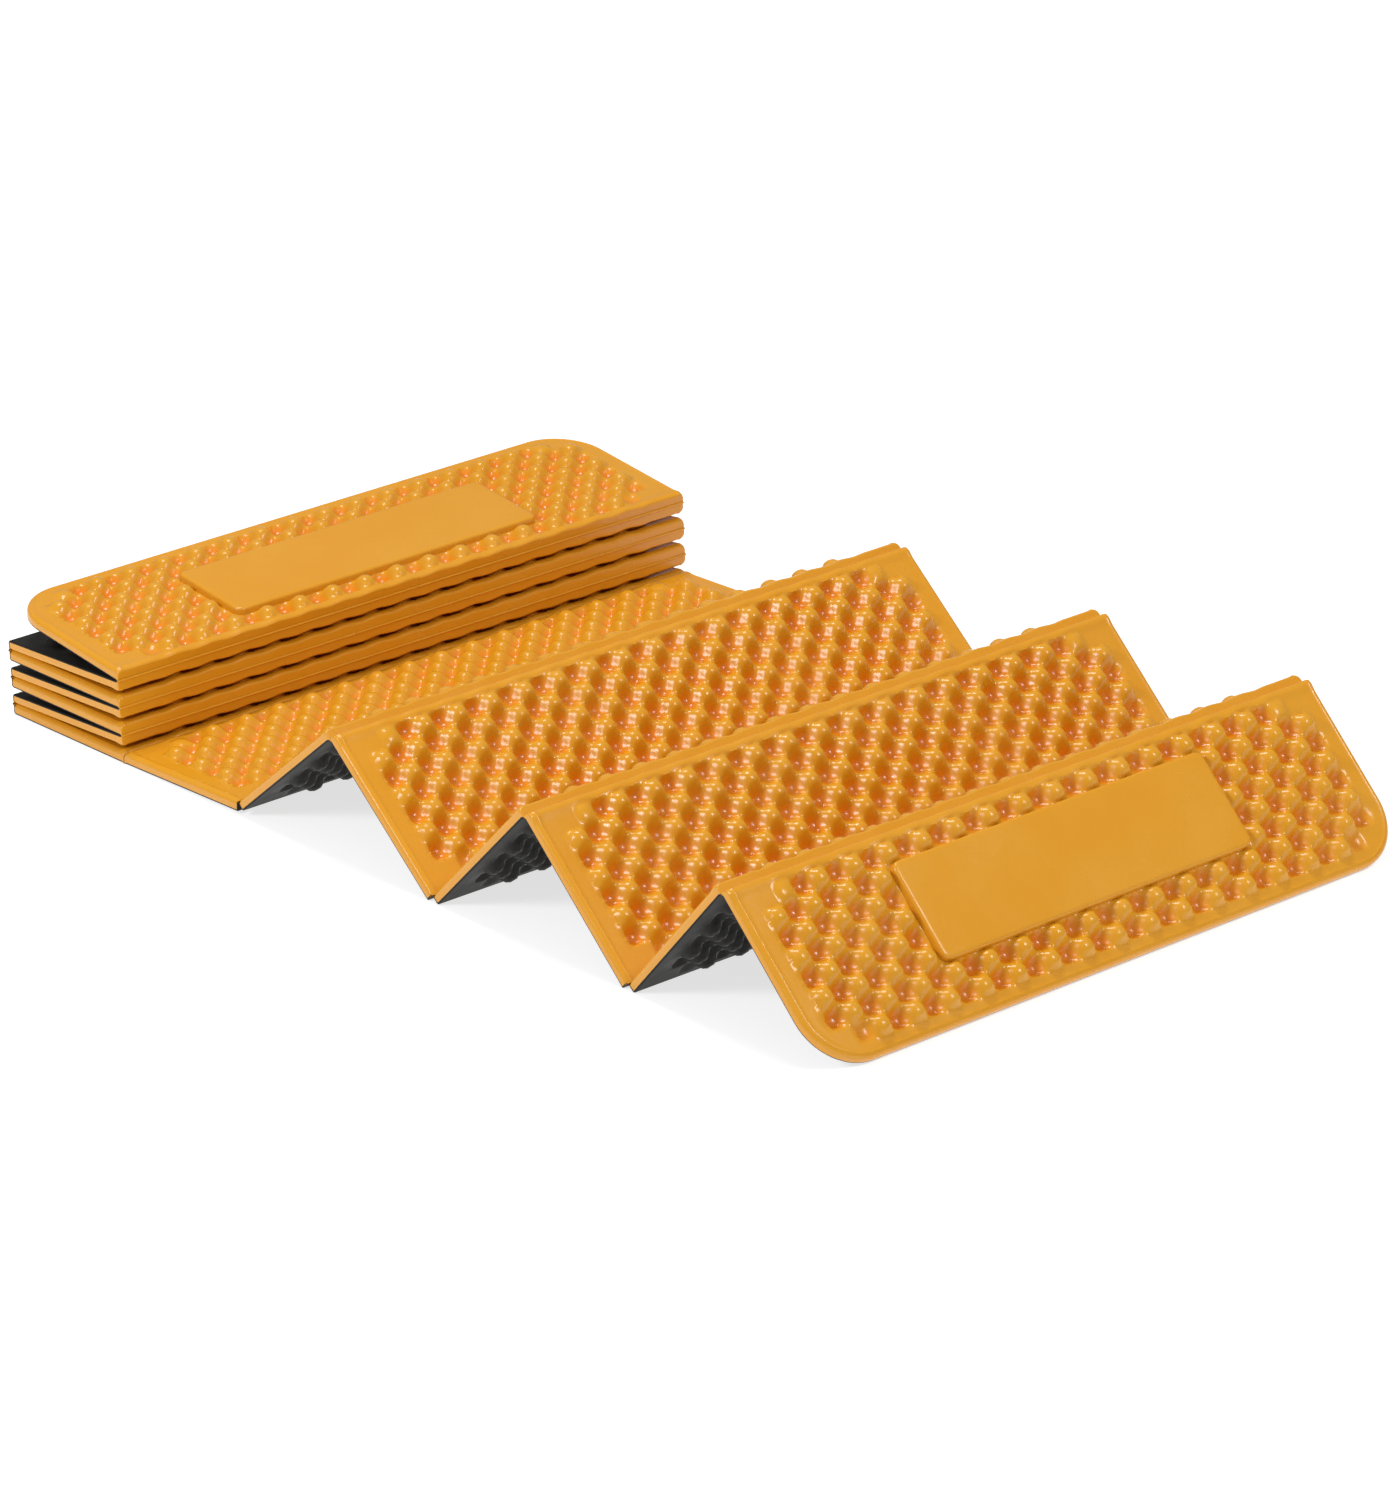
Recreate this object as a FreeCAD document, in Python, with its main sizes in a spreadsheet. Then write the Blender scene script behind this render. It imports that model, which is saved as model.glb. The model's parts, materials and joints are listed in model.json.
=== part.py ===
import FreeCAD, Part
import math
import os

import Sketcher

# A folding foam mat, shown half unfolded. Panels hang together on living hinges: panels 1 to 7 lie
# in a pack, panel 8 lies in front of it and panels 9 to 14 stand up and down in a zigzag.
#
# Frame: +X runs along the creases, -Y from the pack towards the zigzag, +Z up. The origin is the
# middle of the underside of panel 7, the panel that lies on the floor below the pack.
#
# Each panel has a frame of its own, with the same axes when the mat lies flat: its rear edge, the
# one next to the lower panel number, is at +Y, and its underside is at Z = 0.

PANELS = 14
FLOOR_PANEL = 7
RISING_PANELS = (8, 9, 11, 13)

DIMENSIONS = [
    ("mat_width", 510),            # along the creases, across the underside
    ("panel_depth", 130.25),       # from crease to crease
    ("end_panel_depth", 133.5),    # from the last crease to the free edge
    ("foam_thickness", 6.3),       # upper layer
    ("underside_thickness", 1.2),  # lower layer
    ("edge_bevel", 2.2),           # the upper face is this much narrower at each side
    ("crease_gap", 2.5),           # between two panels that lie flat
    ("film_clearance", 0.3),       # between a crease's half-round film and the panel that turns about it
    ("film_inset", 2),             # film ends inside the bevelled sides
    ("corner_radius", 40),         # free corners of the two end panels
    ("pad_width", 272),            # smooth raised pad on each end panel
    ("pad_length", 73),
    ("pad_rise", 5),
    ("pad_setback", 57.8),         # middle of the pad to the panel's crease
    ("pad_corner_radius", 7),
    ("pad_edge_radius", 1.5),
    ("closed_fold", 177.8),        # angle at which two panels rest on each other
    ("top_panel_lift", 7.5),       # panel 1 above level
    ("panel_8_rise", 1),           # slopes of the panels that rise towards the front
    ("panel_9_rise", 38.4),
    ("panel_11_rise", 43.8),
    ("panel_13_rise", 47.2),
]

doc = FreeCAD.newDocument("folding_mat")
sheet = doc.addObject("Spreadsheet::Sheet", "dimensions")
for row, (alias, value) in enumerate(DIMENSIONS, start=1):
    sheet.set("A%d" % row, alias)
    sheet.set("B%d" % row, str(value))
    sheet.setAlias("B%d" % row, alias)
doc.recompute()


def size(alias):
    return float(getattr(sheet, alias))


# ---- where each panel lies ----------------------------------------------------------------------

def depth(panel):
    return size("end_panel_depth") if panel in (1, PANELS) else size("panel_depth")


def folds_underneath(crease):
    """Crease n joins panels n and n + 1. Odd ones bring two undersides together, even ones two tops."""
    return crease % 2 == 1


def crease_height(crease):
    """The axis lies in the faces that the fold brings together."""
    if folds_underneath(crease):
        return 0.0
    return size("underside_thickness") + size("foam_thickness")


def crease_point(crease, panel):
    """The crease's axis, in the frame of one of its two panels."""
    side = -1 if crease == panel else 1
    return FreeCAD.Vector(0, side * depth(panel) / 2, crease_height(crease))


def hung_at(crease, panel, slope, neighbour):
    """Placement of a panel at a slope, with its crease on that of its placed neighbour."""
    turn = FreeCAD.Rotation(FreeCAD.Vector(1, 0, 0), slope)
    axis = neighbour.multVec(crease_point(crease, 2 * crease + 1 - panel))
    return FreeCAD.Placement(axis - turn.multVec(crease_point(crease, panel)), turn)


def slope_to_floor(height, reach):
    """Slope of a panel that hangs from a crease at this height and touches the floor at its end."""
    return math.degrees(math.asin(height / reach))


def lay_out():
    """Placement of every panel. A slope is a turn about +X, so a panel that falls forward has more
    than 0; the pack's even panels lie upside down."""
    places = {FLOOR_PANEL: FreeCAD.Placement()}
    pack_slopes = {1: size("top_panel_lift")}
    for panel in range(2, FLOOR_PANEL):
        pack_slopes[panel] = 0 if panel % 2 else size("closed_fold")
    for panel in range(FLOOR_PANEL - 1, 0, -1):
        places[panel] = hung_at(panel, panel, pack_slopes[panel], places[panel + 1])

    for panel in range(FLOOR_PANEL + 1, PANELS + 1):
        if panel in RISING_PANELS:
            slope = -size("panel_%d_rise" % panel)
        else:
            ridge = places[panel - 1].multVec(crease_point(panel - 1, panel - 1)).z
            free_end = panel == PANELS
            reach = depth(panel) - (0 if free_end else size("crease_gap") / 2)
            slope = slope_to_floor(ridge, reach)
        places[panel] = hung_at(panel - 1, panel, slope, places[panel - 1])
    return places


PLACES = lay_out()


# ---- building blocks ----------------------------------------------------------------------------

def shifted(y, z):
    return FreeCAD.Placement(FreeCAD.Vector(0, y, z), FreeCAD.Rotation())


def new_body(label):
    body = doc.addObject("PartDesign::Body", label)
    body.Label = label
    return body


def sketch_on(body, role, name):
    plane = [item for item in body.Origin.OriginFeatures if item.Role == role][0]
    sketch = body.newObject("Sketcher::SketchObject", name)
    sketch.AttachmentSupport = [(plane, "")]
    sketch.MapMode = "FlatFace"
    return sketch


def bound_constraint(sketch, constraint, expression):
    index = sketch.addConstraint(constraint)
    sketch.setExpression("Constraints[%d]" % index, expression)


def centred_slab(body, width, length, height):
    """Rectangle about the body's origin, padded up from the XY plane. The sizes are expressions."""
    sketch = sketch_on(body, "XY_Plane", body.Name + "_outline")
    corners = [FreeCAD.Vector(x, y, 0) for x, y in ((-100, -50), (100, -50), (100, 50), (-100, 50))]
    for index in range(4):
        following = (index + 1) % 4
        sketch.addGeometry(Part.LineSegment(corners[index], corners[following]))
    for index in range(4):
        sketch.addConstraint(Sketcher.Constraint("Coincident", index, 2, (index + 1) % 4, 1))
    for line, direction in enumerate(("Horizontal", "Vertical", "Horizontal", "Vertical")):
        sketch.addConstraint(Sketcher.Constraint(direction, line))
    sketch.addConstraint(Sketcher.Constraint("Symmetric", 0, 1, 1, 2, -1, 1))
    bound_constraint(sketch, Sketcher.Constraint("DistanceX", 0, 1, 0, 2, 200), width)
    bound_constraint(sketch, Sketcher.Constraint("DistanceY", 1, 1, 1, 2, 100), length)
    pad = body.newObject("PartDesign::Pad", body.Name + "_slab")
    pad.Profile = sketch
    pad.setExpression("Length", height)
    doc.recompute()
    return pad


def upright_edges(shape, side=0):
    """Names of the edges that run from foot to head, all of them or those at +Y or -Y."""
    found = []
    for index, edge in enumerate(shape.Edges, start=1):
        upright = edge.BoundBox.ZLength > 0.99 * shape.BoundBox.ZLength
        if upright and side * edge.CenterOfMass.y >= 0:
            found.append("Edge%d" % index)
    return found


def head_edges(shape, crease_sides=()):
    """Names of the edges around the upper face, without those along a crease at +Y or -Y."""
    box = shape.BoundBox
    found = []
    for index, edge in enumerate(shape.Edges, start=1):
        at_head = edge.BoundBox.ZMin > box.ZMax - 1e-6
        at_crease = any(abs(2 * edge.CenterOfMass.y - side * box.YLength) < 1e-6 for side in crease_sides)
        if at_head and not at_crease:
            found.append("Edge%d" % index)
    return found


def dress(body, kind, base, edges, property_name, expression):
    """Fillet or chamfer on edges of the body's last feature."""
    feature = body.newObject("PartDesign::" + kind, base.Name + "_" + kind.lower())
    feature.Base = (base, edges)
    feature.setExpression(property_name, expression)
    doc.recompute()
    return feature


# ---- sub-parts ----------------------------------------------------------------------------------

def free_side(panel):
    """+1 or -1 where the panel's edge at +Y or -Y is an end of the mat, 0 elsewhere."""
    return {1: 1, PANELS: -1}.get(panel, 0)


def panel_layer(panel, layer, height, rise):
    """One of a panel's two layers: a slab, with rounded corners at the mat's two ends."""
    body = new_body("panel_%02d_%s" % (panel, layer))
    if free_side(panel):
        length = "dimensions.end_panel_depth - dimensions.crease_gap / 2"
    else:
        length = "dimensions.panel_depth - dimensions.crease_gap"
    last = centred_slab(body, "dimensions.mat_width", length, height)
    if free_side(panel):
        corners = upright_edges(last.Shape, free_side(panel))
        last = dress(body, "Fillet", last, corners, "Radius", "dimensions.corner_radius")
    middle = free_side(panel) * size("crease_gap") / 4
    body.Placement = PLACES[panel] * shifted(middle, rise)
    return body, last


def underside(panel):
    return panel_layer(panel, "underside", "dimensions.underside_thickness", 0)[0]


def foam(panel):
    body, last = panel_layer(panel, "foam", "dimensions.foam_thickness", size("underside_thickness"))
    crease_sides = [side for side in (1, -1) if side != free_side(panel)]
    edges = head_edges(last.Shape, crease_sides)
    dress(body, "Chamfer", last, edges, "Size", "dimensions.edge_bevel")
    return body


def raised_pad(panel):
    """Smooth pad with rounded corners on the upper face of an end panel."""
    body = new_body("raised_pad_%02d" % panel)
    last = centred_slab(body, "dimensions.pad_width", "dimensions.pad_length", "dimensions.pad_rise")
    last = dress(body, "Fillet", last, upright_edges(last.Shape), "Radius", "dimensions.pad_corner_radius")
    dress(body, "Fillet", last, head_edges(last.Shape), "Radius", "dimensions.pad_edge_radius")
    middle = free_side(panel) * (size("pad_setback") - depth(panel) / 2)
    body.Placement = PLACES[panel] * shifted(middle, size("underside_thickness") + size("foam_thickness"))
    return body


def crease_film(crease):
    """Half-round film on the axis of a crease, with a web to the panel that is nearer panel 7.
    The next panel turns about the film and is clear of it."""
    label = "crease_%02d_%02d" % (crease, crease + 1)
    length = "dimensions.mat_width - 2 * (dimensions.edge_bevel + dimensions.film_inset)"
    radius = "dimensions.crease_gap / 2 - dimensions.film_clearance"
    start = "-(%s) / 2" % length

    bead = doc.addObject("Part::Cylinder", label + "_bead")
    bead.Angle = 180
    bead.Placement.Rotation = FreeCAD.Rotation(FreeCAD.Vector(1, 1, 1), 120)
    bead.setExpression("Radius", radius)
    bead.setExpression("Height", length)
    bead.setExpression("Placement.Base.x", start)

    web = doc.addObject("Part::Box", label + "_web")
    web.setExpression("Length", length)
    web.setExpression("Width", "dimensions.crease_gap / 2")
    web.setExpression("Height", radius)
    web.setExpression("Placement.Base.x", start)

    film = doc.addObject("Part::Fuse", label)
    film.Label = label
    film.Base = bead
    film.Tool = web
    film.Refine = True

    in_pack = crease < FLOOR_PANEL
    panel = crease + 1 if in_pack else crease
    toward_panel = FreeCAD.Rotation(FreeCAD.Vector(0, 0, 1), 180 if in_pack else 0)
    inward = FreeCAD.Rotation(FreeCAD.Vector(0, 1, 0), 0 if folds_underneath(crease) else 180)
    local = FreeCAD.Placement(crease_point(crease, panel), toward_panel * inward)
    film.Placement = PLACES[panel] * local
    return film


def build():
    subparts = []
    for panel in range(1, PANELS + 1):
        subparts.append(foam(panel))
        subparts.append(underside(panel))
    for crease in range(1, PANELS):
        subparts.append(crease_film(crease))
    for panel in (1, PANELS):
        subparts.append(raised_pad(panel))
    doc.recompute()
    return subparts


def check(subparts):
    for item in doc.Objects:
        if "Invalid" in item.State or "Error" in item.State:
            raise RuntimeError("%s didn't build: %s" % (item.Label, item.State))
    for item in subparts:
        if item.Shape.isNull() or not item.Shape.isValid() or len(item.Shape.Solids) != 1:
            raise RuntimeError("%s isn't one valid solid" % item.Label)


def write(subparts):
    os.makedirs("parts", exist_ok=True)
    for item in subparts:
        item.Shape.exportStep("parts/%s.step" % item.Label)


subparts = build()
check(subparts)
write(subparts)
print("wrote %d sub-parts" % len(subparts))
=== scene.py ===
import json
import math

import bpy
import numpy as np
from mathutils import Matrix, Vector


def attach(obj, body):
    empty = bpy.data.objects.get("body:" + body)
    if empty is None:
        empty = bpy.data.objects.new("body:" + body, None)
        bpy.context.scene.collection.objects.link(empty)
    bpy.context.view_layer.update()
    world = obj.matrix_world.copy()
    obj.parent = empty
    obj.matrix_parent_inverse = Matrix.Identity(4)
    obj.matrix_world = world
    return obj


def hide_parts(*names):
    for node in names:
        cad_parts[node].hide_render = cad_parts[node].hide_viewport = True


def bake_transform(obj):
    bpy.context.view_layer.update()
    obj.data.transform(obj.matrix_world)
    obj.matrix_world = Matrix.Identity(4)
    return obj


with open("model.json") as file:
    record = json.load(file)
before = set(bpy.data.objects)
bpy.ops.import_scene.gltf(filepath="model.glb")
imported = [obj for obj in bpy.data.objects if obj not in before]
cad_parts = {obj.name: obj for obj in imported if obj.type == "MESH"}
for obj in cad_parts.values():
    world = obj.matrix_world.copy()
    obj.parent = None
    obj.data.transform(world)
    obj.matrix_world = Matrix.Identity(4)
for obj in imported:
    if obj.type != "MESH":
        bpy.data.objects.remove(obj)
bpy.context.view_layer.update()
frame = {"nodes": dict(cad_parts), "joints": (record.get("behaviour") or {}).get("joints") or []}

SEED = 14
rng = np.random.default_rng(SEED)

# A folding foam mat of 14 panels. Each panel is one moulded egg-crate sheet: an orange layer on a
# thin charcoal one. Between panels the sheet is pressed thin, which makes the crease. Lengths in
# this file are millimetres until a mesh is made, which scales them to metres.
#
# Panel frame: +Y towards the lower panel number, +Z out of the orange face, origin in the middle
# of the charcoal face.

MM = 0.001
PANELS = 14
UNDERSIDE = 1.2          # charcoal layer
THICKNESS = 7.5          # both layers
CREASE_GAP = 2.5         # between two panels that lie flat
PANEL_END = 0.45         # a panel's moulded end stands this far from the crease's axis
FILM_THICKNESS = 0.8     # pressed sheet along a crease
FILM_UNDERSIDE = 0.3     # charcoal part of it
FILM_END = 0.2           # the film stands out this far at the sides
FILM_REACH = 1.7         # and runs this far into a panel

CELL_X = 14.42           # egg-crate cells
CELL_Y = 14.6
COLUMNS = 33
ROWS = 8
CREASE_MARGIN = 6.7      # from a crease to the first row of cells
RELIEF = 5.3             # height of a bump, depth of a dimple
FINE = 8                 # mesh steps over a cell on the orange face
COARSE = 2               # every second fine line is used on the other faces

EDGE_ROUND = 3.2         # upper edge at the sides
LOWER_ROUND = 0.7        # lower edge at the sides
FOOT_ROUND = 1.0         # lower edge beside a crease that folds the orange faces together
BEAD_RISE = 0.4          # fine bead along the sides
BEAD_INSET = 3.7
BEAD_SPREAD = 0.55
RIDGE_RISE = 0.8         # the sheet thickens towards a crease that folds the charcoal faces together
RIDGE_REACH = 11         # over this distance from it
BEVEL_START = 4.0        # and ends there in a bevel
BEVEL_DROP = 1.0
BEVEL_ROUND = 1.5
RIM_WAVE = 0.5           # bumps and dimples run out into the rim there
THIN_END = 0.9           # the charcoal layer thins by this much there, and the foam wraps down
SKIN = 0.9               # charcoal skin on the end beside a crease that folds the orange faces together
CORNER_RADIUS = 40.0     # free corners of the two end panels

CELL_SPREAD = 0.03       # bumps differ in height by about this share
SECOND_CELL = 0.45       # share of the relief next to a field's cut corner
FADE = (11.0, 15.5)      # an end panel's relief fades out between these distances from its edge
PAD_COLUMNS = 7          # cells on each side of a raised pad
PAD_ROWS = (2, 6)        # rows under a pad, counted from the panel's crease
PAD_CORNER = 7.0
PAD_FOOT = 1.0           # depth of a pad's foot in the foam


# ---- panel frames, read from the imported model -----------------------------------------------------

def node_points(node):
    """YZ coordinates of a CAD node's vertices, in mm."""
    mesh = frame["nodes"][node].data
    points = np.array([vertex.co for vertex in mesh.vertices], float).reshape(-1, 3)
    return points / MM


def free_side(panel):
    """+1 or -1 where the panel's edge at +Y or -Y is an end of the mat, 0 elsewhere."""
    return {1: 1, PANELS: -1}.get(panel, 0)


class PanelFrame:
    """Where a panel lies, and how deep it is from crease to crease or to the free edge."""

    def __init__(self, panel):
        under = node_points("panel_%02d_underside" % panel)
        foam = node_points("panel_%02d_foam" % panel)
        flat = under[:, 1:]
        middle = (flat.min(0) + flat.max(0)) / 2
        along = np.linalg.svd(flat - flat.mean(0))[2][0]
        normal = np.array([-along[1], along[0]])
        foam_middle = (foam[:, 1:].min(0) + foam[:, 1:].max(0)) / 2
        if (foam_middle - middle) @ normal < 0:
            normal = -normal
        self.panel = panel
        self.z = normal
        self.y = np.array([normal[1], -normal[0]])
        reach = flat @ self.y
        self.half_width = under[:, 0].max()
        side = free_side(panel)
        gaps = CREASE_GAP / 2 if side else CREASE_GAP
        self.depth = reach.max() - reach.min() + gaps
        if side > 0:
            y0 = reach.max() - self.depth / 2
        elif side < 0:
            y0 = reach.min() + self.depth / 2
        else:
            y0 = (reach.max() + reach.min()) / 2
        z0 = (flat @ self.z).min()
        self.origin = y0 * self.y + z0 * self.z

    def matrix(self):
        rows = (
            (1, 0, 0, 0),
            (0, self.y[0], self.z[0], self.origin[0] * MM),
            (0, self.y[1], self.z[1], self.origin[1] * MM),
            (0, 0, 0, 1),
        )
        return Matrix(rows)


PLACES = {panel: PanelFrame(panel) for panel in range(1, PANELS + 1)}
HALF_WIDTH = PLACES[7].half_width
PANEL_DEPTH = PLACES[7].depth


# ---- relief --------------------------------------------------------------------------------------

def smoothstep(value, low, high):
    t = np.clip((value - low) / (high - low), 0, 1)
    return t * t * (3 - 2 * t)


def rounding(distance, radius):
    """How far a rounded edge of this radius falls off at a distance from its side."""
    inside = np.clip(radius - distance, 0, radius)
    return radius - np.sqrt(radius ** 2 - inside ** 2)


CELL_SIZE = 1 + CELL_SPREAD * rng.standard_normal((COLUMNS, ROWS))


def edge_distance(x, y, depth, side):
    """Distance from the nearest outer edge of the mat: the sides, and the free end if there is one."""
    from_side = HALF_WIDTH - np.abs(x)
    if side == 0:
        return from_side
    from_end = depth / 2 - side * y
    a = CORNER_RADIUS - from_side
    b = CORNER_RADIUS - from_end
    in_corner = (a > 0) & (b > 0)
    rounded = CORNER_RADIUS - np.hypot(np.maximum(a, 0), np.maximum(b, 0))
    return np.where(in_corner, rounded, np.minimum(from_side, from_end))


def cell_strength(panel_side, depth, padded_face):
    """Share of the full relief that each cell has. The corners of the field are cut, and the orange
    face of an end panel has none under its raised pad."""
    columns = np.arange(COLUMNS)[:, None] * np.ones(ROWS)
    rows = np.ones(COLUMNS)[:, None] * np.arange(1, ROWS + 1)
    strength = CELL_SIZE.copy()
    outermost = np.minimum(columns, COLUMNS - 1 - columns)
    end_row = (rows == 1) | (rows == ROWS)
    strength[end_row & (outermost == 0)] = 0
    strength[end_row & (outermost == 1)] *= SECOND_CELL
    if panel_side:
        x = (columns - (COLUMNS - 1) / 2) * CELL_X
        from_rear = CREASE_MARGIN + (rows - 0.5) * CELL_Y
        if panel_side > 0:
            from_rear = from_rear + depth - PANEL_DEPTH
        y = depth / 2 - from_rear
        clear = edge_distance(x, y, depth, panel_side)
        strength *= smoothstep(clear, *FADE)
        if padded_face:
            from_crease = rows if panel_side < 0 else ROWS + 1 - rows
            in_rows = (from_crease >= PAD_ROWS[0]) & (from_crease <= PAD_ROWS[1])
            strength[(outermost >= PAD_COLUMNS) & in_rows] = 0
    return strength


def relief(x, y, depth, side, padded_face):
    """Height of the egg-crate over the sheet's middle at points of a panel."""
    from_rear = depth / 2 - y
    if side > 0:
        from_rear = from_rear - (depth - PANEL_DEPTH)
    across = (x + COLUMNS * CELL_X / 2) / CELL_X
    down = (from_rear - CREASE_MARGIN) / CELL_Y
    column = np.floor(across).astype(int)
    row = np.floor(down).astype(int)
    inside = (column >= 0) & (column < COLUMNS) & (row >= 0) & (row < ROWS)
    strength = cell_strength(side, depth, padded_face)
    j = np.clip(column, 0, COLUMNS - 1)
    r = np.clip(row, 0, ROWS - 1)
    dome = np.cos(math.pi * (across - column - 0.5)) * np.cos(math.pi * (down - row - 0.5))
    dome = np.sin(math.pi / 2 * np.clip(dome, 0, 1))
    sign = np.where((j + r + 1) % 2 == 0, 1.0, -1.0)
    return np.where(inside, sign * RELIEF * strength[j, r] * dome, 0.0)


def ridge_rim(from_axis):
    """Height over the plain face along a crease that folds the charcoal faces together."""
    rise = RIDGE_RISE * (1 - smoothstep(from_axis, BEVEL_START, RIDGE_REACH))
    bevel = BEVEL_DROP * np.clip((BEVEL_START - from_axis) / (BEVEL_START - PANEL_END), 0, 1)
    return rise - bevel - rounding(from_axis - PANEL_END, BEVEL_ROUND)


def rim_wave(x, from_axis, at_front):
    """Small waves along the same rim, up and down as the row of cells beside it."""
    across = (x + COLUMNS * CELL_X / 2) / CELL_X
    row = ROWS - 1 if at_front else 0
    sign = 1 if row % 2 else -1
    share = smoothstep(across, 0.5, 1.5) * (1 - smoothstep(across, COLUMNS - 1.5, COLUMNS - 0.5))
    near = 1 - smoothstep(from_axis, 3, 8)
    return sign * RIM_WAVE * share * near * np.sin(math.pi * across)


def end_skin(from_axis):
    """How far the charcoal skin runs up a panel's end."""
    top = THICKNESS - (FILM_THICKNESS - FILM_UNDERSIDE) - UNDERSIDE
    return top * (1 - smoothstep(from_axis, PANEL_END + SKIN * 0.6, PANEL_END + SKIN * 1.4))


# ---- meshes --------------------------------------------------------------------------------------

def make_mesh(name, points, faces, values=None, sharp=55):
    mesh = bpy.data.meshes.new(name)
    mesh.from_pydata([tuple(p) for p in np.asarray(points, float) * MM], [], faces)
    mesh.validate()
    mesh.polygons.foreach_set("use_smooth", [True] * len(mesh.polygons))
    mesh.set_sharp_from_angle(angle=math.radians(sharp))
    if values is not None:
        attribute = mesh.attributes.new("relief", "FLOAT", "POINT")
        attribute.data.foreach_set("value", np.asarray(values, np.float32))
    mesh.update()
    return mesh


def closed_sheet(name, upper, lower, upper_marks, lower_marks, values=None, sharp=55):
    """Solid between two grids of points, upper and lower, that share their outermost lines.
    The marks say which of the full set of lines each grid keeps, for both directions, and each
    grid keeps its first and last line."""
    points = []
    index = []
    for grid, marks in ((upper, upper_marks), (lower, lower_marks)):
        kept = grid[np.ix_(marks[0], marks[1])]
        number = np.full(grid.shape[:2], -1)
        order = np.arange(kept.shape[0] * kept.shape[1])
        number[np.ix_(marks[0], marks[1])] = order.reshape(kept.shape[:2])
        number[number >= 0] += len(points)
        points.extend(kept.reshape(-1, 3))
        index.append(number[np.ix_(marks[0], marks[1])])
    faces = []
    for side, grid in enumerate(index):
        a = grid[:-1, :-1].ravel()
        b = grid[1:, :-1].ravel()
        c = grid[1:, 1:].ravel()
        d = grid[:-1, 1:].ravel()
        order = (a, b, c, d) if side == 0 else (a, d, c, b)
        faces.extend(np.stack(order, 1).tolist())
    rims = []
    for grid in index:
        rims.append((grid[:, 0], grid[-1, :], grid[::-1, -1], grid[0, ::-1]))
    lines = []
    for marks in (upper_marks, lower_marks):
        first = np.flatnonzero(marks[0])
        second = np.flatnonzero(marks[1])
        lines.append((first, second, first[::-1], second[::-1]))
    for edge in range(4):
        up, down = rims[0][edge], rims[1][edge]
        up_at, down_at = list(lines[0][edge]), list(lines[1][edge])
        shared = [at for at in down_at if at in set(up_at)]
        for start, stop in zip(shared[:-1], shared[1:]):
            top = up[up_at.index(start):up_at.index(stop) + 1]
            foot = down[down_at.index(start):down_at.index(stop) + 1]
            faces.append([int(i) for i in foot] + [int(i) for i in top[::-1]])
    if values is not None:
        flat = values[np.ix_(upper_marks[0], upper_marks[1])].ravel()
        values = np.concatenate([flat, np.zeros(len(points) - len(flat))])
    return make_mesh(name, points, faces, values, sharp)


def bend_corners(x, y, half_width, half_depth, radius, sides):
    """Moves the points of a rectangle's grid so that its corners at +Y (1) or -Y (-1) are round.
    A point keeps its distance from the outline."""
    x, y = x.copy(), y.copy()
    for side in sides:
        a = np.abs(x) - (half_width - radius)
        b = side * y - (half_depth - radius)
        corner = (a > 0) & (b > 0)
        scale = np.where(corner, np.maximum(a, b) / np.maximum(np.hypot(a, b), 1e-9), 1)
        x = np.where(corner, np.sign(x) * (half_width - radius + a * scale), x)
        y = np.where(corner, side * (half_depth - radius + b * scale), y)
    return x, y


# Grid lines in a panel's plain margins, as distances from its sides, its creases and its free end.
SIDE_LINES = [0, 0.12, 0.4, 0.9, 1.7, 2.6, 3.1, 3.6, 4.1, 4.8, 7, 10, 13.5]
COARSE_SIDE_LINES = [0, 0.4, 0.9, 2.6, 7]
CREASE_LINES = [PANEL_END, 0.55, 0.8, 1.2, 1.7, 2.45, 3.3, 3.85, 4.15, 5.2]
END_LINES = [0, 0.12, 0.4, 0.9, 1.7, 2.6, 3.1, 3.6, 4.1, 4.8, 6.5, 8.3]


def panel_lines(panel_side, depth):
    """Positions of the grid's lines across and along a panel, and which of them are coarse."""
    start = -COLUMNS * CELL_X / 2
    field_x = start + np.arange(COLUMNS * FINE + 1) * CELL_X / FINE
    left = np.array(SIDE_LINES) - HALF_WIDTH
    x = np.concatenate([left, field_x, -left[::-1]])
    coarse_side = np.isin(SIDE_LINES, COARSE_SIDE_LINES)
    coarse_field = np.arange(COLUMNS * FINE + 1) % COARSE == 0
    coarse_x = np.concatenate([coarse_side, coarse_field, coarse_side[::-1]])

    rear = END_LINES if panel_side > 0 else CREASE_LINES
    front = END_LINES if panel_side < 0 else CREASE_LINES
    rear_margin = CREASE_MARGIN + (depth - PANEL_DEPTH if panel_side > 0 else 0)
    field_v = rear_margin + np.arange(ROWS * FINE + 1) * CELL_Y / FINE
    v = np.concatenate([np.array(rear), field_v, depth - np.array(front)[::-1]])
    coarse_rows = np.concatenate([
        np.ones(len(rear), bool),
        np.arange(ROWS * FINE + 1) % COARSE == 0,
        np.ones(len(front), bool),
    ])
    return x, depth / 2 - v[::-1], coarse_x, coarse_rows[::-1]


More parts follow.
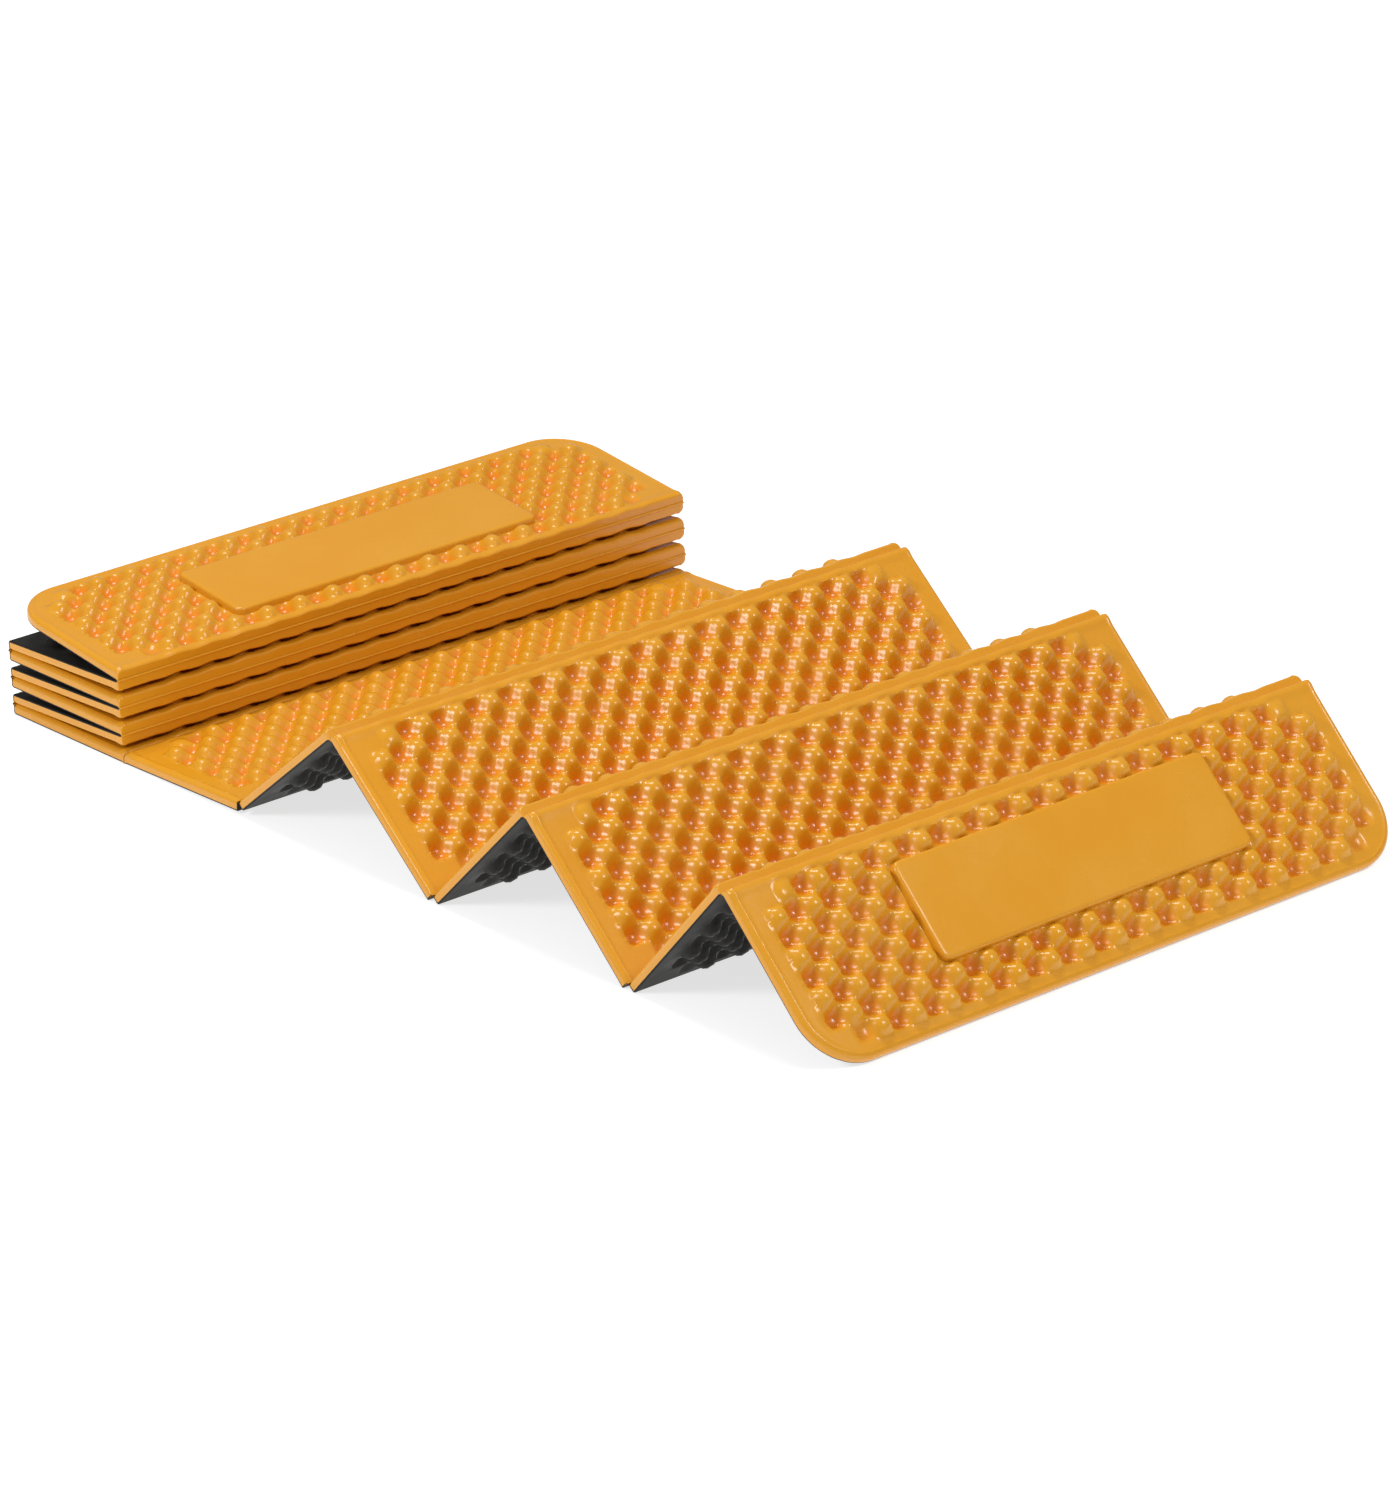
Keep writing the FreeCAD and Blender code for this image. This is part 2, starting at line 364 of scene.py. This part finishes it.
def panel_meshes(name, panel):
    """The foam and the underside of a panel, as closed meshes in the panel's frame."""
    side = free_side(panel)
    depth = PLACES[panel].depth
    x_lines, y_lines, coarse_x, coarse_y = panel_lines(side, depth)
    x, y = np.meshgrid(x_lines, y_lines, indexing="ij")
    if side:
        x, y = bend_corners(x, y, HALF_WIDTH, depth / 2, CORNER_RADIUS, (side,))
    edge = edge_distance(x, y, depth, side)
    height = relief(x, y, depth, side, True)
    under_height = relief(x, y, depth, side, False)

    from_rear = depth / 2 - y
    from_front = depth / 2 + y
    ridge_at_front = panel % 2 == 1
    ridge, valley = (from_front, from_rear) if ridge_at_front else (from_rear, from_front)
    no_ridge = side and ridge_at_front == (side < 0)
    no_valley = side and ridge_at_front == (side > 0)
    rim = 0 if no_ridge else ridge_rim(ridge) + rim_wave(x, ridge, ridge_at_front)
    thin = 0 if no_ridge else THIN_END * (1 - smoothstep(ridge, PANEL_END + 0.2, PANEL_END + 2))
    skin = 0 if no_valley else end_skin(valley)
    foot = 0 if no_valley else rounding(valley - PANEL_END, FOOT_ROUND)

    bead = BEAD_RISE * np.exp(-((edge - BEAD_INSET) / BEAD_SPREAD) ** 2)
    top = THICKNESS + height - rounding(edge, EDGE_ROUND) + bead + rim
    between = UNDERSIDE + under_height + skin - thin
    bottom = under_height + rounding(edge, LOWER_ROUND) + foot
    fine = (np.ones(len(x_lines), bool), np.ones(len(y_lines), bool))
    coarse = (coarse_x, coarse_y)
    surfaces = {}
    for key, z in (("top", top), ("between", between), ("bottom", bottom)):
        surfaces[key] = np.stack([x, y, z], 2)
    share = height / RELIEF
    foam = closed_sheet(name + "_foam", surfaces["top"], surfaces["between"], fine, coarse, share)
    under = closed_sheet(name + "_underside", surfaces["between"], surfaces["bottom"],
                         coarse, coarse, share)
    return foam, under


PAD_EDGE = [              # distance from the side, height over the foam
    (0, -0.8), (0.1, 0.3), (0.25, 1.4), (0.45, 2.6), (0.75, 3.6),
    (1.2, 4.35), (1.9, 4.8), (2.9, 4.97), (4.5, 5.0),
]


def pad_mesh(name, width, length, corner):
    """Smooth raised pad. Its foot stands in the foam below."""
    inset = np.array([step[0] for step in PAD_EDGE])
    rise = np.array([step[1] for step in PAD_EDGE])
    arc = np.arange(5.6, corner + 0.1, 0.9)
    edge_steps = np.concatenate([inset, arc])
    x_middle = np.linspace(-(width / 2 - edge_steps[-1]), width / 2 - edge_steps[-1], 30)[1:-1]
    y_middle = np.linspace(-(length / 2 - edge_steps[-1]), length / 2 - edge_steps[-1], 10)[1:-1]
    x_lines = np.concatenate([edge_steps - width / 2, x_middle, (width / 2 - edge_steps)[::-1]])
    y_lines = np.concatenate([edge_steps - length / 2, y_middle, (length / 2 - edge_steps)[::-1]])
    x, y = np.meshgrid(x_lines, y_lines, indexing="ij")
    distance = np.minimum(width / 2 - np.abs(x), length / 2 - np.abs(y))
    x, y = bend_corners(x, y, width / 2, length / 2, corner, (1, -1))
    top = np.stack([x, y, np.interp(distance, inset, rise)], 2)
    foot = np.stack([x, y, np.full_like(x, -PAD_FOOT)], 2)
    every = (np.ones(len(x_lines), bool), np.ones(len(y_lines), bool))
    sparse = []
    edge_lines = len(edge_steps)
    for lines in (x_lines, y_lines):
        kept = np.zeros(len(lines), bool)
        kept[[0, edge_lines - 1, -edge_lines, -1]] = True
        kept[edge_lines:-edge_lines:3] = True
        sparse.append(kept)
    return closed_sheet(name, top, foot, every, tuple(sparse), sharp=70)


# ---- creases -------------------------------------------------------------------------------------

def film_section(axis, into_a, into_b, out_a, out_b, inner, outer):
    """Closed outline, in YZ, of one layer of a crease's film. The layer lies between two distances
    from the fold's axis, goes round it, and ends inside the two panels."""
    turn = math.acos(max(-1.0, min(1.0, float(out_a @ out_b))))
    steps = max(1, round(math.degrees(turn) / 13))
    arc = []
    for step in range(1, steps):
        share = step / steps
        if turn < 3.0:
            weight_a = math.sin((1 - share) * turn) / math.sin(turn)
            weight_b = math.sin(share * turn) / math.sin(turn)
            arc.append(weight_a * out_a + weight_b * out_b)
        else:
            middle = -(into_a + into_b)
            middle = middle / np.linalg.norm(middle)
            around = math.pi * share
            arc.append(out_a * math.cos(around) + middle * math.sin(around))
    reach = (FILM_REACH, PANEL_END, PANEL_END / 2)
    shrink = (0.16, 0.04, 0.0)

    def path(radius, inward):
        found = []
        for s, less in zip(reach, shrink):
            found.append(axis + s * into_a + (radius + inward * less) * out_a)
        found.append(axis + radius * out_a)
        if radius > 0:
            found.extend(axis + radius * direction for direction in arc)
            found.append(axis + radius * out_b)
        for s, less in zip(reach[::-1], shrink[::-1]):
            found.append(axis + s * into_b + (radius + inward * less) * out_b)
        return found

    return path(outer, -1), path(inner, 1)


def film_mesh(name, section):
    """Runs a film's section along the crease, with the ends rounded off."""
    outer, inner = section
    stations = [0, 0.25, 0.7, 1.5, 6]
    half = HALF_WIDTH + FILM_END
    spacing = np.linspace(-half + 30, half - 30, 33)
    x_lines = np.concatenate([np.array(stations) - half, spacing, (half - np.array(stations))[::-1]])
    middle = (np.mean(outer, 0) + np.mean(inner, 0)) / 2
    outline = outer + inner[::-1]
    points = []
    for x in x_lines:
        from_end = half - abs(x)
        scale = 1 - 0.4 * float(rounding(np.array(from_end), 1.2)) / 1.2
        for y, z in outline:
            points.append((x, *(middle + (np.array((y, z)) - middle) * scale)))
    count = len(outline)
    faces = []
    for station in range(len(x_lines) - 1):
        first = station * count
        for k in range(count):
            following = (k + 1) % count
            faces.append([first + k, first + following, first + count + following, first + count + k])
    faces.append(list(range(count))[::-1])
    last = (len(x_lines) - 1) * count
    faces.append(list(range(last, last + count)))
    return make_mesh(name, points, faces, sharp=60)


# ---- materials -----------------------------------------------------------------------------------

def node(tree, kind, **settings):
    made = tree.nodes.new(kind)
    for key, value in settings.items():
        setattr(made, key, value)
    return made


def foam_material(name, colour, dimple_shade_colour, worn, roughness, spread, specular, pore_depth):
    """Closed-cell foam with a moulded skin: a fine grain, a gloss that varies with handling, and
    painted shade that darkens the colour in the dimples."""
    material = bpy.data.materials.new(name)
    material.use_nodes = True
    tree = material.node_tree
    shader = tree.nodes["Principled BSDF"]
    shader.inputs["IOR"].default_value = 1.46
    shader.inputs["Specular IOR Level"].default_value = specular
    place = node(tree, "ShaderNodeTexCoord")

    patches = node(tree, "ShaderNodeTexNoise")
    patches.inputs["Scale"].default_value = 14
    patches.inputs["Detail"].default_value = 5
    tree.links.new(place.outputs["Object"], patches.inputs["Vector"])
    specks = node(tree, "ShaderNodeTexNoise")
    specks.inputs["Scale"].default_value = 900
    specks.inputs["Detail"].default_value = 3
    tree.links.new(place.outputs["Object"], specks.inputs["Vector"])

    # Painted shade: the colour turns to the darker dimple colour as the relief falls into a dimple.
    height = node(tree, "ShaderNodeAttribute", attribute_name="relief")
    depth = node(tree, "ShaderNodeMapRange")
    depth.inputs["From Min"].default_value = 0.1
    depth.inputs["From Max"].default_value = -0.85
    tree.links.new(height.outputs["Fac"], depth.inputs["Value"])
    dimple_shade_mix = node(tree, "ShaderNodeMix", data_type="RGBA")
    dimple_shade_mix.inputs["A"].default_value = (*colour, 1)
    dimple_shade_mix.inputs["B"].default_value = (*dimple_shade_colour, 1)
    tree.links.new(depth.outputs["Result"], dimple_shade_mix.inputs["Factor"])

    wear = node(tree, "ShaderNodeMapRange")
    wear.inputs["From Min"].default_value = 0.42
    wear.inputs["From Max"].default_value = 0.75
    wear.inputs["To Max"].default_value = 0.35
    tree.links.new(patches.outputs["Fac"], wear.inputs["Value"])
    mixed = node(tree, "ShaderNodeMix", data_type="RGBA")
    mixed.inputs["B"].default_value = (*worn, 1)
    tree.links.new(dimple_shade_mix.outputs["Result"], mixed.inputs["A"])
    tree.links.new(wear.outputs["Result"], mixed.inputs["Factor"])
    tree.links.new(mixed.outputs["Result"], shader.inputs["Base Color"])

    gloss = node(tree, "ShaderNodeMapRange")
    gloss.inputs["From Min"].default_value = 0.3
    gloss.inputs["From Max"].default_value = 0.7
    gloss.inputs["To Min"].default_value = roughness - spread
    gloss.inputs["To Max"].default_value = roughness + spread
    tree.links.new(patches.outputs["Fac"], gloss.inputs["Value"])
    tree.links.new(gloss.outputs["Result"], shader.inputs["Roughness"])

    waves = node(tree, "ShaderNodeTexNoise")
    waves.inputs["Scale"].default_value = 120
    waves.inputs["Detail"].default_value = 2
    tree.links.new(place.outputs["Object"], waves.inputs["Vector"])
    soft = node(tree, "ShaderNodeBump")
    soft.inputs["Strength"].default_value = 0.35
    soft.inputs["Distance"].default_value = 0.0006
    tree.links.new(waves.outputs["Fac"], soft.inputs["Height"])
    grain = node(tree, "ShaderNodeBump")
    grain.inputs["Strength"].default_value = 0.3
    grain.inputs["Distance"].default_value = pore_depth
    tree.links.new(specks.outputs["Fac"], grain.inputs["Height"])
    tree.links.new(soft.outputs["Normal"], grain.inputs["Normal"])
    tree.links.new(grain.outputs["Normal"], shader.inputs["Normal"])
    return material


ORANGE = foam_material(
    "orange_foam_skin",
    colour=(0.66, 0.295, 0.012),
    # painted shade: darker colour laid into the dimples
    dimple_shade_colour=(0.72, 0.205, 0.005),
    worn=(0.69, 0.34, 0.03),
    roughness=0.25,
    spread=0.05,
    specular=0.5,
    pore_depth=0.00012,
)
CHARCOAL = foam_material(
    "charcoal_foam_skin",
    colour=(0.013, 0.012, 0.010),
    # painted shade: darker colour laid into the dimples
    dimple_shade_colour=(0.008, 0.008, 0.007),
    worn=(0.024, 0.022, 0.019),
    roughness=0.50,
    spread=0.08,
    specular=0.2,
    pore_depth=0.00025,
)


# ---- pieces --------------------------------------------------------------------------------------

def place_piece(name, mesh, matrix, material):
    if not mesh.materials:
        mesh.materials.append(material)
    piece = bpy.data.objects.new(name, mesh)
    bpy.context.scene.collection.objects.link(piece)
    piece.matrix_world = matrix
    return piece


def build_panels():
    shared = {}
    for panel in range(1, PANELS + 1):
        body = "panel_%02d" % panel
        kind = {1: "rear_end", PANELS: "front_end"}.get(panel, "odd" if panel % 2 else "even")
        if kind not in shared:
            shared[kind] = panel_meshes(kind, panel)
        foam_mesh, under_mesh = shared[kind]
        matrix = PLACES[panel].matrix()
        for mesh, layer, material, slot in ((foam_mesh, "foam", ORANGE, "orange_foam"),
                                            (under_mesh, "underside", CHARCOAL, "charcoal_foam")):
            piece = place_piece("%s_%s_moulded" % (body, layer), mesh, matrix, material)
            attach(piece, body)
            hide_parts("%s_%s" % (body, layer))


def build_pads():
    for panel in (1, PANELS):
        place = PLACES[panel]
        cad = "raised_pad_%02d" % panel
        points = node_points(cad)
        width = points[:, 0].max() - points[:, 0].min()
        reach = points[:, 1:] @ place.y - place.origin @ place.y
        length = reach.max() - reach.min()
        mesh = pad_mesh(cad, width, length, PAD_CORNER)
        middle = Matrix.Translation((0, (reach.max() + reach.min()) / 2 * MM, THICKNESS * MM))
        piece = place_piece(cad + "_moulded", mesh, place.matrix() @ middle, ORANGE)
        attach(piece, "panel_%02d" % panel)
        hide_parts(cad)


def build_creases():
    axes = {}
    for joint in frame["joints"]:
        number = int(joint["name"].split("_")[1])
        axes[number] = np.array(joint["pos_m"][1:]) / MM
    for crease in range(1, PANELS):
        a, b = PLACES[crease], PLACES[crease + 1]
        ridge = crease % 2 == 1
        sign = 1 if ridge else -1
        axis = axes[crease]
        into_a, into_b = a.y, -b.y
        out_a, out_b = sign * a.z, sign * b.z
        near = FILM_UNDERSIDE if ridge else FILM_THICKNESS - FILM_UNDERSIDE
        far = FILM_THICKNESS
        directions = (into_a, into_b, out_a, out_b)
        inside, outside = ("charcoal", "orange") if ridge else ("orange", "charcoal")
        layers = {
            "inner": (inside, film_section(axis, *directions, 0, near)),
            "outer": (outside, film_section(axis, *directions, near, far)),
        }
        cad = "crease_%02d_%02d" % (crease, crease + 1)
        for layer, (colour, section) in layers.items():
            name = "%s_%s_film" % (cad, layer)
            mesh = film_mesh(name, section)
            material = ORANGE if colour == "orange" else CHARCOAL
            piece = place_piece(name, mesh, Matrix.Identity(4), material)
            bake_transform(piece)
            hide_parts(cad)


build_panels()
build_pads()
build_creases()


# ---- studio --------------------------------------------------------------------------------------

def studio_floor():
    mesh = bpy.data.meshes.new("floor")
    half = 30
    corners = [(-half, -half, 0), (half, -half, 0), (half, half, 0), (-half, half, 0)]
    mesh.from_pydata(corners, [], [(0, 1, 2, 3)])
    floor = bpy.data.objects.new("floor", mesh)
    bpy.context.scene.collection.objects.link(floor)
    floor.location = (0, 0, -0.0003)
    material = bpy.data.materials.new("studio_floor")
    material.use_nodes = True
    shader = material.node_tree.nodes["Principled BSDF"]
    shader.inputs["Base Color"].default_value = (0.5, 0.5, 0.5, 1)
    shader.inputs["Roughness"].default_value = 0.9
    shader.inputs["Specular IOR Level"].default_value = 0.1
    shader.inputs["Emission Color"].default_value = (1, 1, 1, 1)
    shader.inputs["Emission Strength"].default_value = 0.72
    mesh.materials.append(material)


def area_light(name, location, target, width, height, power):
    data = bpy.data.lights.new(name, "AREA")
    data.shape = "RECTANGLE"
    data.size = width
    data.size_y = height
    data.energy = power
    light = bpy.data.objects.new(name, data)
    bpy.context.scene.collection.objects.link(light)
    light.location = location
    direction = Vector(target) - Vector(location)
    light.rotation_euler = direction.to_track_quat("-Z", "Y").to_euler()


def studio_world():
    world = bpy.data.worlds.new("studio")
    bpy.context.scene.world = world
    world.use_nodes = True
    background = world.node_tree.nodes["Background"]
    background.inputs["Color"].default_value = (1, 1, 1, 1)
    background.inputs["Strength"].default_value = 0.33


CAMERA_AZIMUTH = -40.011         # degrees
CAMERA_ELEVATION = 21.891
CAMERA_ROLL = -1.720
CAMERA_TARGET = (-0.0074, -0.3812, 0.0272)
CAMERA_DISTANCE = 4.685
SENSOR_WIDTH = 36
FOCAL_LENGTH = 6935.24 / 1509    # in picture heights


def photo_camera():
    azimuth = math.radians(CAMERA_AZIMUTH)
    elevation = math.radians(CAMERA_ELEVATION)
    roll = math.radians(CAMERA_ROLL)
    back = Vector((
        math.sin(azimuth) * math.cos(elevation),
        -math.cos(azimuth) * math.cos(elevation),
        math.sin(elevation),
    ))
    level = Vector((0, 0, 1)).cross(back).normalized()
    upright = back.cross(level)
    right = math.cos(roll) * level + math.sin(roll) * upright
    up = -math.sin(roll) * level + math.cos(roll) * upright
    data = bpy.data.cameras.new("camera")
    camera = bpy.data.objects.new("camera", data)
    bpy.context.scene.collection.objects.link(camera)
    turn = Matrix((right, up, back)).transposed().to_4x4()
    camera.matrix_world = Matrix.Translation(Vector(CAMERA_TARGET) + CAMERA_DISTANCE * back) @ turn
    data.sensor_width = SENSOR_WIDTH
    data.lens = SENSOR_WIDTH * FOCAL_LENGTH
    data.clip_start = 0.1
    data.clip_end = 200
    bpy.context.scene.camera = camera


MIDDLE = (0, -0.36, 0.04)
studio_floor()
studio_world()
area_light("top", (0.1, 0.25, 2.5), MIDDLE, 0.9, 0.7, 33)
area_light("left", (-2.1, -0.3, 1.5), MIDDLE, 0.6, 0.5, 25)
area_light("front", (0.6, -2.3, 2.0), MIDDLE, 0.6, 0.5, 25)
photo_camera()
bpy.context.scene.view_settings.view_transform = "Standard"
